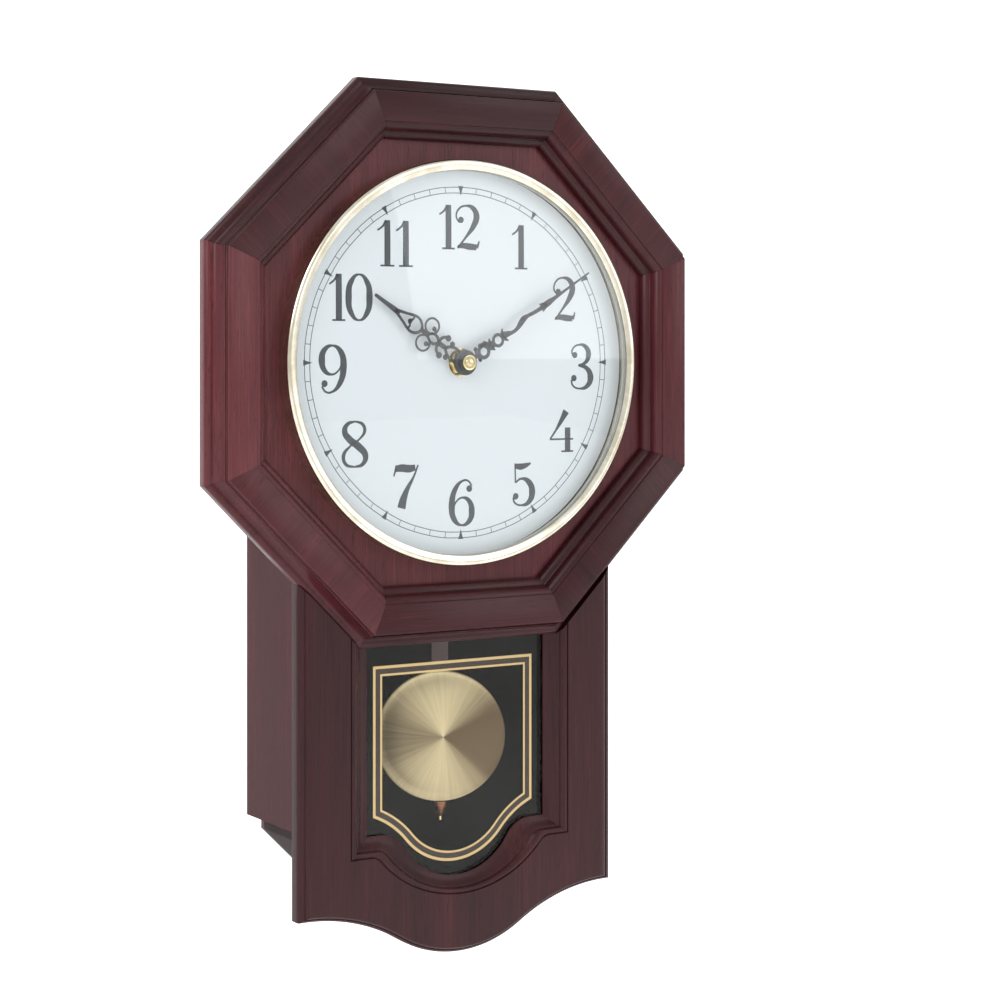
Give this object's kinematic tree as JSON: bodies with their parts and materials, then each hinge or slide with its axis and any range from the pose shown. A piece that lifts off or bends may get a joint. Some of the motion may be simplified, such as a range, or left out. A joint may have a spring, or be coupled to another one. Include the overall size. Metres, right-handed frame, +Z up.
{
  "type": "pendulum wall clock",
  "caption": "Octagonal wooden wall clock with a round glazed dial, openwork hands and a pendulum behind a drop-case window.",
  "frame": {"origin": "centre of the hanger plate's round keyhole entry, on the back plane that lies against the wall", "axes": "+Z up, +X to the right as seen from the front, -Y out of the wall towards the viewer"},
  "size_m": [0.318, 0.0819, 0.4944],
  "materials": {
    "frame_wood": "satin lacquer",
    "panel_wood": "satin lacquer",
    "hardboard": "matte",
    "gold_trim": "polished",
    "bob_brass": "spun",
    "bright_brass": "polished",
    "copper": "satin",
    "steel": "zinc plated",
    "clear_glass": "clear",
    "black_metal": "satin",
    "dial_white": "satin",
    "cell_wrap": "gloss",
    "black_plastic": "fine grain",
    "white_plastic": "gloss",
    "red_plastic": "gloss",
    "board_green": "solder mask",
    "rod_brown": "satin",
    "rubber": "matte"
  },
  "bodies": {
    "case": {"rail_right": "frame_wood", "rail_top_right": "frame_wood", "rail_top": "frame_wood", "rail_top_left": "frame_wood", "rail_left": "frame_wood", "rail_bottom_left": "frame_wood", "rail_bottom": "frame_wood", "rail_bottom_right": "frame_wood", "drop_frame": "frame_wood", "left_side": "frame_wood", "right_side": "frame_wood", "case_top": "frame_wood", "dial_panel": "panel_wood", "case_bottom": "hardboard", "back_board": "hardboard", "corner_blocks": "panel_wood", "back_screws": "steel", "window_glass": "clear_glass", "glass_clips": "steel", "clip_screws": "bright_brass", "bezel": "gold_trim", "bezel_screws": "steel", "dial_glass": "clear_glass", "glass_seal": "rubber", "dial_plate": "dial_white", "hanger_plate": "steel", "hanger_screws": "steel", "movement_case": "black_plastic", "movement_cover": "black_plastic", "threaded_bush": "bright_brass", "rubber_washer": "rubber", "bush_washer": "bright_brass", "bush_nut": "bright_brass", "drive_module": "white_plastic", "speaker": "black_metal", "circuit_board": "board_green", "pendulum_coil": "copper", "intermediate_post": "steel", "batteries": "cell_wrap", "battery_contacts": "steel", "pendulum_bracket": "steel", "pivot_pin": "steel"},
    "minute_arbor": {"minute_arbor": "steel", "setting_knob": "black_plastic", "minute_hand": "black_metal", "cap_nut": "bright_brass"},
    "intermediate_wheel": {"intermediate_wheel": "white_plastic"},
    "hour_wheel": {"hour_wheel": "white_plastic", "hour_hand": "black_metal"},
    "chime_switch": {"chime_switch": "red_plastic"},
    "volume_switch": {"volume_switch": "red_plastic"},
    "pendulum_hanger": {"pendulum_hanger": "white_plastic", "drive_magnet": "steel"},
    "pendulum": {"pendulum_rod": "rod_brown", "bob_face": "bob_brass", "bob_back": "bob_brass", "bob_clip": "bright_brass", "rating_screw": "bright_brass"},
    "rating_nut": {"rating_nut": "copper"}
  },
  "joints": [
    {"name": "minute_turn", "type": "hinge", "parent": "case", "child": "minute_arbor", "pos_m": [0, -0.04, -0.07], "axis": [0, 1, 0], "continuous": true},
    {"name": "intermediate_turn", "type": "hinge", "parent": "case", "child": "intermediate_wheel", "pos_m": [0, -0.048, -0.062], "axis": [0, 1, 0], "continuous": true},
    {"name": "hour_turn", "type": "hinge", "parent": "case", "child": "hour_wheel", "pos_m": [0, -0.06, -0.07], "axis": [0, 1, 0], "continuous": true},
    {"name": "chime_slide", "type": "slide", "parent": "case", "child": "chime_switch", "axis": [1, 0, 0], "range_m": [-0.0025, 0.0025]},
    {"name": "volume_slide", "type": "slide", "parent": "case", "child": "volume_switch", "axis": [1, 0, 0], "range_m": [-0.0025, 0.0025]},
    {"name": "pendulum_swing", "type": "hinge", "parent": "case", "child": "pendulum_hanger", "pos_m": [0.002, -0.032, -0.128], "axis": [0, 1, 0], "range_deg": [-4, 4]},
    {"name": "rod_twist", "type": "hinge", "parent": "pendulum_hanger", "child": "pendulum", "pos_m": [0.002, -0.038, -0.146], "axis": [0, 0, 1], "range_deg": [0, 48]},
    {"name": "rating_turn", "type": "hinge", "parent": "pendulum", "child": "rating_nut", "pos_m": [0.002, -0.038, -0.326], "axis": [0, 0, 1], "continuous": true}
  ],
  "couplings": [
    {"joint": "intermediate_turn", "follows": "minute_turn", "ratio": -0.33333},
    {"joint": "hour_turn", "follows": "minute_turn", "ratio": 0.083333}
  ]
}
